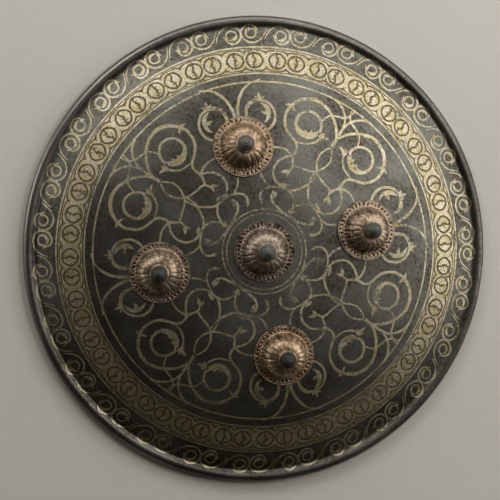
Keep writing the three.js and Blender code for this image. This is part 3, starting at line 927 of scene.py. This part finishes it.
def seat_matrix(degrees):
    angle, lean = math.radians(degrees), math.atan(dome_slope(BOSS_CIRCLE))
    across, up = BOSS_CIRCLE * MM, dome_height(BOSS_CIRCLE) * MM
    where = Vector((across * math.cos(angle), across * math.sin(angle), up))
    return Matrix.Translation(where) @ Matrix.Rotation(angle, 4, "Z") @ Matrix.Rotation(lean, 4, "Y")


ROUND_THE_AXIS, DOWN_THE_SLOPE = 4, 12  # the dome bends less round its axis than down its slope


def dome_bend(r, direction):
    """Radius in mm of the dome's bend at a distance from its axis."""
    q = r / FOOT_RADIUS
    return 1 / (DOME_FALL / FOOT_RADIUS ** 2 * (2 * (1 - FULLNESS) + direction * FULLNESS * q ** 2))


OUTER_PLACES = {"upper_right": 45, "upper_left": 135, "lower_left": 225, "lower_right": 315}
outer_bend = dome_bend(BOSS_CIRCLE, ROUND_THE_AXIS)
seats = {place: (seat_matrix(angle), outer_bend) for place, angle in OUTER_PLACES.items()}
seats["centre"] = (Matrix.Translation((0, 0, CROWN_HEIGHT * MM)), dome_bend(0, ROUND_THE_AXIS))
for place, (seat, seat_radius) in seats.items():
    boss = make_boss(place, seat, seat_radius, random.uniform(0, 0.3))
    print(boss.name, len(boss.data.polygons), "faces")

# %% [markdown]
# ## Forged iron
#
# Rivets and washers are forged iron with its scale left on: darker than bright metal, and more matt than
# the plate, because the scale is pitted (pits of about 0.9 mm, in blotches of 4 mm). One value at each
# piece's points darkens it: on the rivet heads it is painted shade, and on the washers a plain darker tone.

# %% Iron with its forge scale
def make_forged_iron():
    material, add = new_material("forged_iron_dark")
    where = add("TexCoord", out="Object")
    blotches = add("TexNoise", grain(where, 4, 5))
    pits = add("TexNoise", grain(where, 0.9, 3))
    scaled = add("MapRange", [blotches, 0.35, 0.7])
    # Painted shade on the rivet heads, and a plain darker tone on the washers
    oil_and_shade = add("Attribute", out="Fac", attribute_name="oil_and_shade")
    base = coats(add, colour("#868983"), (scaled, colour("#62615b")), (oil_and_shade, colour("#2f2e2b")))
    finish(add, base, add("MapRange", [pits, 0.3, 0.7, 0.66, 0.84]), pits, depth_mm=0.2)
    return material


forged_iron = make_forged_iron()
print(forged_iron.name, "has", len(forged_iron.node_tree.nodes), "nodes")

# %% [markdown]
# ## Rivets and washers
#
# One rivet goes through each boss and the plate. Its head is forged to a blunt point, and the other end
# is hammered over a round washer. They could be plain cones and discs, but hammer work leaves soft flats,
# so each is turned from its outline and pushed in a little, at random, all round. The centre rivet is
# short, and the outer four are longer by the strap they hold. The heads at the left and the foot of the
# picture are painted darker, as painted shade where the light falls off.

# %% Sizes behind the plate, and a turned piece
RIVET_HEAD, HEAD_HEIGHT, SHANK, PEEN, PEEN_HEIGHT = 7.8, 9.2, 3.0, 5.4, 2.2
WASHER_RADIUS, WASHER_THICKNESS = 9.0, 1.5
STRAP_WIDTH, STRAP_THICKNESS, STRAP_TAB, STRAP_BOW = 30.0, 3.6, 28.0, 33.0
DOME_FACET = FOOT_RADIUS / 6  # length of the flats that the solid's dome is made of


def clear_depth(reach, bend_radius):
    return SHEET + FIT_GAP + reach ** 2 / (2 * bend_radius) + DOME_FACET ** 2 / (8 * bend_radius)


STRAP_TOP = -clear_depth(math.hypot(STRAP_TAB, STRAP_WIDTH) / 2, dome_bend(BOSS_CIRCLE, DOWN_THE_SLOPE))
OUTER_WASHER_TOP = STRAP_TOP - STRAP_THICKNESS - FIT_GAP
CENTRE_WASHER_TOP = -clear_depth(WASHER_RADIUS, dome_bend(0, DOWN_THE_SLOPE))


def turned_piece(node, profile, seat, dents, closed=False, oil_and_shade=0.2, steps=96):
    profile = np.array(profile, float)
    theta = np.arange(steps) * 2 * math.pi / steps
    phase = [random.uniform(0, WHOLE_TURN) for _ in range(3)]
    rings = []
    for r, z in profile:
        ripple = np.sin(5 * theta + phase[0] + 0.8 * z) * np.sin(3 * theta + phase[1] - 0.5 * z)
        push = dents * (0.5 + 0.5 * ripple)
        radius = np.maximum(r - push * (r > 2 * SHANK / 3), 0)
        rings.append(np.stack([radius * np.cos(theta), radius * np.sin(theta), np.full(steps, z)], 1))
    vertices = np.concatenate(rings)
    skin = ring_faces(len(profile), steps, closed)
    if not closed:
        low, high, last = len(vertices), len(vertices) + 1, len(vertices) - steps
        vertices = np.vstack([vertices, [[0, 0, profile[0][1] - 0.02]], [[0, 0, profile[-1][1] + 0.02]]])
        skin += [(low, (j + 1) % steps, j) for j in range(steps)]
        skin += [(high, last + j, last + (j + 1) % steps) for j in range(steps)]
    # The value darkens the piece: painted shade on a rivet head, a plain darker tone on a washer
    oil = np.full(len(vertices), oil_and_shade)
    made = new_mesh(f"{node}_forged", seated(seat, vertices), skin, [forged_iron], attributes={"oil_and_shade": oil})
    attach(made, "root")
    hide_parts(node)
    return made


print("washer tops in mm below the face:", round(CENTRE_WASHER_TOP, 2), round(OUTER_WASHER_TOP, 2))

# %% Turn the rivets and washers
# Painted shade: how much darker each rivet head is painted. Less light reaches the left and the foot of the
# picture, so those heads are darkest
PAINTED_HEAD_SHADE = {"centre": 0.05, "upper_left": 0.0, "upper_right": 0.2, "lower_left": 0.65, "lower_right": 0.75}
# Outline of the head from its foot to its blunt point, as shares of its radius and height
HEAD_SHAPE = [(1.0, 0.015), (1.0, 0.1), (0.985, 0.18), (0.94, 0.28), (0.87, 0.4), (0.78, 0.52), (0.67, 0.64),
              (0.55, 0.755), (0.42, 0.85), (0.3, 0.915), (0.18, 0.96), (0.08, 0.983)]

for place, (seat, _) in seats.items():
    washer_top = CENTRE_WASHER_TOP if place == "centre" else OUTER_WASHER_TOP
    peen_top = washer_top - WASHER_THICKNESS - FIT_GAP
    head_foot = BELL_HEIGHT + FIT_GAP
    dome = [(PEEN * math.cos(a), peen_top - 0.5 - (PEEN_HEIGHT - 0.5) * math.sin(a))
            for a in np.linspace(math.pi / 2 - 0.08, 0, 9)]
    profile = dome + [(PEEN, peen_top - 0.15), (PEEN - 0.2, peen_top), (SHANK, peen_top), (SHANK, head_foot)]
    profile += [(RIVET_HEAD - 0.25, head_foot)]
    profile += [(r * RIVET_HEAD, head_foot + z * HEAD_HEIGHT) for r, z in HEAD_SHAPE]
    rivet = turned_piece(f"rivet_{place}", profile, seat, dents=0.22, oil_and_shade=PAINTED_HEAD_SHADE[place])
    low, high = washer_top - WASHER_THICKNESS, washer_top
    washer_profile = [(HOLE_RADIUS, low), (WASHER_RADIUS - 0.4, low), (WASHER_RADIUS - 0.12, low + 0.12),
                      (WASHER_RADIUS, low + 0.4), (WASHER_RADIUS, high - 0.3), (WASHER_RADIUS - 0.3, high),
                      (HOLE_RADIUS, high)]
    turned_piece(f"washer_{place}", washer_profile, seat, dents=0.15, closed=True)
    print(rivet.name, "is", round(head_foot + HEAD_HEIGHT - peen_top + PEEN_HEIGHT, 1), "mm long")

# %% [markdown]
# ## Leather and thread
#
# The straps are oiled harness leather: vegetable-tanned cowhide with a fine pebble grain of 1.2 mm, which
# gives a broken, waxy sheen, in a tone that drifts over 24 mm, and with edges darkened by oil and hands.
# Smooth cells give the pebbles more truly than noise does. The thread is waxed linen, matt and paler, and
# its plies, 0.5 mm apart, show as streaks alone.

# %% Harness leather and linen thread
def make_harness_leather():
    material, add = new_material("harness_leather_oiled")
    where = add("TexCoord", out="Object")
    pebbles = add("TexVoronoi", {"Vector": where, "Scale": 1 / (1.2 * MM)}, feature="SMOOTH_F1")
    tone = add("TexNoise", grain(where, 24, 6))
    drift = add("MapRange", [tone, 0.35, 0.68])
    # On the straps this value is wear alone: oil and hands darken the edges
    edge = weighted(add, [add("Attribute", out="Fac", attribute_name="wear_and_sheen"), 0.75])
    base = coats(add, colour("#4a2d1a"), (drift, colour("#6a432a")), (edge, colour("#2a1810")))
    roughness = add("MapRange", [pebbles, 0.0, 0.8, 0.62, 0.42])
    finish(add, base, roughness, pebbles, depth_mm=0.25, metallic=0.0)
    return material


def make_linen_thread():
    material, add = new_material("waxed_linen_thread")
    where = add("TexCoord", out="Object")
    plies = add("TexNoise", grain(where, 0.5, 2))
    streaks = add("MapRange", [plies, 0.35, 0.65])
    base = coats(add, colour("#a08b66"), (streaks, colour("#6e5a3c")))
    finish(add, base, 0.75, plies, depth_mm=0.1, metallic=0.0)
    return material


harness_leather, linen_thread = make_harness_leather(), make_linen_thread()
print(harness_leather.name, "and", linen_thread.name, "are made")

# %% [markdown]
# ## The straps
#
# Two straps bow away from the back of the plate, for a forearm and a hand. Each is one thick strip with
# rounded edges, riveted flat at its ends and sewn along both sides. A curve with a bevel could make it,
# but its ends and its worn edges need values at each point, so the strip's cross-section is swept along
# the solid's own line.

# %% Line and cross-section of a strap
STRAP_ENDS_TURN = math.radians(45)  # from the middle of a strap to each of its rivets, round the axis
END_ROUNDING, EDGE_SOFTNESS, WORN_EDGE = 5.0, 0.42, 1.2


def strap_line(half_span, end_lean):
    normal = np.array([math.sin(end_lean), math.cos(end_lean)])
    inward = np.array([-math.cos(end_lean), math.sin(end_lean)])
    rivet = np.array([half_span, 0.0]) + normal * (STRAP_TOP - STRAP_THICKNESS / 2)
    tab_out, tab_in = rivet - inward * STRAP_TAB / 2, rivet + inward * STRAP_TAB / 2
    controls = [tab_in, tab_in + inward * STRAP_TAB / 3, np.array([half_span / 2, -STRAP_BOW]),
                np.array([0.0, -STRAP_BOW])]
    t = np.linspace(0, 1, 40)[:, None]
    bend = ((1 - t) ** 3 * controls[0] + 3 * (1 - t) ** 2 * t * controls[1]
            + 3 * (1 - t) * t ** 2 * controls[2] + t ** 3 * controls[3])
    tab = tab_out + (tab_in - tab_out) * np.linspace(0, 1, 13)[:-1, None]
    half = np.vstack([tab, bend])
    return np.vstack([half, (half[:-1] * [-1, 1])[::-1]])


def edge_section(width, thickness, steps=5):
    """Rounded cross-section of the strip, as (across, up) pairs."""
    soft = thickness * EDGE_SOFTNESS
    side, top = width / 2 - soft, thickness / 2 - soft
    section = []
    for cx, cy, start in ((side, top, 0), (-side, top, 90), (-side, -top, 180), (side, -top, 270)):
        for a in np.linspace(0, 90, steps):
            turn = math.radians(start + a)
            section.append((cx + soft * math.cos(turn), cy + soft * math.sin(turn)))
    return section


def strap_path(degrees):
    """The strap's seat, the points of its middle line, its up directions, and the run along it."""
    middle, lean = math.radians(degrees) + STRAP_ENDS_TURN, math.atan(dome_slope(BOSS_CIRCLE))
    side_lean = math.atan2(math.sin(lean) * math.cos(STRAP_ENDS_TURN), math.cos(lean))
    end_lean = math.asin(math.sin(lean) * math.sin(STRAP_ENDS_TURN))
    distance = BOSS_CIRCLE * math.cos(STRAP_ENDS_TURN)
    where = Vector((distance * math.cos(middle), distance * math.sin(middle), dome_height(BOSS_CIRCLE))) * MM
    seat = Matrix.Translation(where) @ Matrix.Rotation(middle, 4, "Z") @ Matrix.Rotation(side_lean, 4, "Y")
    line = strap_line(BOSS_CIRCLE * math.sin(STRAP_ENDS_TURN), end_lean)
    along = np.gradient(line, axis=0)
    along /= np.linalg.norm(along, axis=1)[:, None]
    up = np.stack([-along[:, 1], along[:, 0]], 1)
    up *= np.sign(up[:, 1])[:, None]
    run = np.r_[0, np.cumsum(np.linalg.norm(np.diff(line, axis=0), axis=1))]
    return seat, line, up, run


print("cross-section of a strap:", len(edge_section(STRAP_WIDTH, STRAP_THICKNESS)), "points")

# %% [markdown]
# ## Sweeping and sewing
#
# Towards each end the section narrows along a quarter circle, which rounds the corners as a strap cutter
# does. Every stitch is a small waxed bar, thickest in its middle, with its ends sunk a little into the
# leather.
# The stitches are one mesh for each strap: a hundred and fifty separate objects would only slow the scene
# down.

# %% Sweep the straps and sew them
STITCH_LENGTH, STITCH_PITCH, STITCH_INSET, UNSEWN_END = 3.0, 4.4, 3.2, 6.0
STITCH_RINGS, STITCH_SIDES = 5, 6


def capped_tube(rings, steps):
    last = (rings - 1) * steps
    return ring_faces(rings, steps) + [tuple(range(steps))[::-1], tuple(range(last, last + steps))]


def sweep_strap(side, seat, line, up, run):
    vertices, worn = [], []
    for centre, u, s in zip(line, up, run):
        inset = min(s, run[-1] - s)
        narrow = END_ROUNDING - math.sqrt(max(END_ROUNDING ** 2 - max(END_ROUNDING - inset, 0) ** 2, 0))
        section = edge_section(STRAP_WIDTH - 2 * narrow, STRAP_THICKNESS)
        for across, lift in section:
            vertices.append((across, centre[0] + u[0] * lift, centre[1] + u[1] * lift))
            worn.append(min(1.0, max(0.0, abs(across) - STRAP_WIDTH / 2 + narrow + WORN_EDGE)))
    skin = capped_tube(len(line), len(section))
    strap = new_mesh(f"strap_{side}_leather", seated(seat, vertices), skin, [harness_leather],
                     attributes={"wear_and_sheen": worn})
    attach(strap, "root")
    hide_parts(f"strap_{side}")
    return strap


def stitch(start, row, face, line, up, run):
    """Points of one stitch: rings along its length, thin at both ends."""
    bar = []
    for share in np.linspace(0, 1, STITCH_RINGS):
        at = start + share * STITCH_LENGTH
        centre = [np.interp(at, run, line[:, k]) for k in (0, 1)]
        u = [np.interp(at, run, up[:, k]) for k in (0, 1)]
        arch = math.sin(math.pi * share)
        thick = 0.18 + 0.27 * arch
        lift = face * (STRAP_THICKNESS / 2 - 0.12 + 0.2 * arch)
        for a in np.linspace(0, 2 * math.pi, STITCH_SIDES + 1)[:-1]:
            high = lift + thick * 0.6 * math.sin(a)
            bar.append((row * (STRAP_WIDTH / 2 - STITCH_INSET) + thick * math.cos(a),
                        centre[0] + u[0] * high, centre[1] + u[1] * high))
    return bar


def sew_strap(side, seat, line, up, run):
    skin = capped_tube(STITCH_RINGS, STITCH_SIDES)
    bars, bar_faces = [], []
    for row in (-1, 1):
        for face in (-1, 1):
            for start in np.arange(UNSEWN_END, run[-1] - UNSEWN_END, STITCH_PITCH):
                bar_faces += [tuple(len(bars) + corner for corner in f) for f in skin]
                bars += stitch(start, row, face, line, up, run)
    sewing = new_mesh(f"strap_{side}_stitching", seated(seat, bars), bar_faces, [linen_thread])
    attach(sewing, "root")
    return len(bar_faces) // len(skin)


for side, first_rivet in (("left", "upper_left"), ("right", "lower_right")):
    path = strap_path(OUTER_PLACES[first_rivet])
    strap = sweep_strap(side, *path)
    print(strap.name, round(path[-1][-1]), "mm long,", sew_strap(side, *path), "stitches")

# %% [markdown]
# ## The camera
#
# The camera stands where the photographer's did. The rings of the ornament lie at different heights on
# the dome, and how far each is shifted against the rim gives the angle, the distance and the focal
# length. TILT is how far the view leans off the shield's axis, and TILT_HEADING says to which side of the
# picture.

# %% Camera from the photograph's view
TILT, TILT_HEADING = math.radians(9.27), math.radians(14.84)
CAMERA_DISTANCE, FOCAL_PIXELS, PHOTO_PIXELS, SENSOR_MM = 2250.0, 2326.8, 500, 36.0
AIM_RIGHT, AIM_DOWN, AIM_HEIGHT = 0.0246 * SHIELD_RADIUS, -0.0033 * SHIELD_RADIUS, 0.6

lean = math.sin(TILT)
axis = Vector((lean * math.cos(TILT_HEADING), lean * math.sin(TILT_HEADING), math.cos(TILT)))
level = Vector((-math.sin(TILT_HEADING), math.cos(TILT_HEADING), 0))
steep = level.cross(axis)
right = steep * math.cos(TILT_HEADING) - level * math.sin(TILT_HEADING)
down = steep * math.sin(TILT_HEADING) + level * math.cos(TILT_HEADING)


def to_picture(x, y, z):
    """A direction of the shield as (right, up, towards the camera)."""
    u = x * math.cos(PHOTO_TURN) - y * math.sin(PHOTO_TURN)
    v = x * math.sin(PHOTO_TURN) + y * math.cos(PHOTO_TURN)
    d = right * u - down * v + axis * z
    return Vector((d.x, -d.y, d.z))


picture_from_shield = Matrix([to_picture(*row) for row in ((1, 0, 0), (0, 1, 0), (0, 0, 1))]).transposed()
shield_from_picture = picture_from_shield.transposed()
eye = shield_from_picture @ Vector((-AIM_RIGHT, AIM_DOWN, CAMERA_DISTANCE)) + Vector((0, 0, AIM_HEIGHT))
camera = bpy.data.objects.new("camera", bpy.data.cameras.new("camera"))
bpy.context.scene.collection.objects.link(camera)
camera.matrix_world = Matrix.Translation(eye * MM) @ shield_from_picture.to_4x4()
camera.data.lens = FOCAL_PIXELS * SENSOR_MM / PHOTO_PIXELS
camera.data.sensor_width = SENSOR_MM
camera.data.clip_start, camera.data.clip_end = 0.05, 20.0
bpy.context.scene.camera = camera
print("camera at", [round(v) for v in eye], "mm, lens", round(camera.data.lens, 1))

# %% [markdown]
# ## The floor
#
# The shield lies on a sheet of pale, matt paper, plain enough to leave the eye on the metal. It reaches
# 2.5 m to each side, so that no camera above it sees its edge close by. A faint mottle of 6 mm keeps it
# from looking like a flat fill.

# %% Paper floor
FLOOR_REACH = 2500


def make_floor():
    material, add = new_material("pale_paper_floor")
    where = add("TexCoord", out="Object")
    fibres = add("TexNoise", grain(where, 6, 4))
    paper = coats(add, colour("#c9c7c2"), (fibres, colour("#d2d0cb")))
    add("OutputMaterial", [add("BsdfPrincipled", {"Base Color": paper, "Roughness": 0.9})])
    low, high = -FLOOR_REACH, FLOOR_REACH
    corners = [(low, low, 0), (high, low, 0), (high, high, 0), (low, high, 0)]
    floor = new_mesh("paper_floor", corners, [(0, 1, 2, 3)], [material])
    floor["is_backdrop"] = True


make_floor()
print("floor reaches", FLOOR_REACH, "mm to each side")

# %% [markdown]
# ## The light
#
# The photograph is lit softly from its upper right, and its lower left is nearly black. One big area
# light would do that on a flat thing, but this is polished metal that mirrors its lights, and the trough
# and the rim mirror a low arc of them. So five round soft boxes stand in an arc from the right over the
# top to the left, and one hangs higher, at the upper right. The world gives next to no light, because it
# would lift the dark side.

# %% World and lights
world = bpy.data.worlds.new("studio")
bpy.context.scene.world = world
world.use_nodes = True
world.node_tree.nodes["Background"].inputs["Color"].default_value = colour("#e8cb94")
world.node_tree.nodes["Background"].inputs["Strength"].default_value = 0.03
bpy.context.scene.view_settings.view_transform = "Standard"

BOX_DISTANCE, BOX_SIZE, WARM_WHITE = 1.8, 0.9, "#fffbf5"
# For each box: its side of the picture, in degrees counter-clockwise from the right, its rise, its watts
SOFT_BOXES = {"soft_box_1": (0, 24, 8.4), "soft_box_2": (40, 25, 8.0), "soft_box_3": (80, 28, 7.2),
              "soft_box_4": (122, 32, 9.6), "soft_box_5": (165, 6, 8.5), "soft_box_overhead": (35, 56, 7.4)}


def soft_box(name, picture_side, elevation, watts):
    heading, rise = math.radians(picture_side) - PHOTO_TURN, math.radians(elevation)
    where = Vector((math.cos(heading) * math.cos(rise), math.sin(heading) * math.cos(rise), math.sin(rise)))
    data = bpy.data.lights.new(name, "AREA")
    data.shape, data.size, data.energy = "DISK", BOX_SIZE, watts
    data.color = colour(WARM_WHITE)[:3]
    light = bpy.data.objects.new(name, data)
    bpy.context.scene.collection.objects.link(light)
    light.location = where * BOX_DISTANCE
    light.rotation_euler = (-where).to_track_quat("-Z", "Y").to_euler()


for name, values in SOFT_BOXES.items():
    soft_box(name, *values)
print(len(SOFT_BOXES), "soft boxes,", round(sum(v[2] for v in SOFT_BOXES.values()), 1), "watts together")

# %% Measure the two boxes and finish
low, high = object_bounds()
{"cad": [list(cad_low), list(cad_high)], "visual": [list(low), list(high)]}
print("visual box in mm:", [round(v / MM, 1) for v in (*low, *high)])
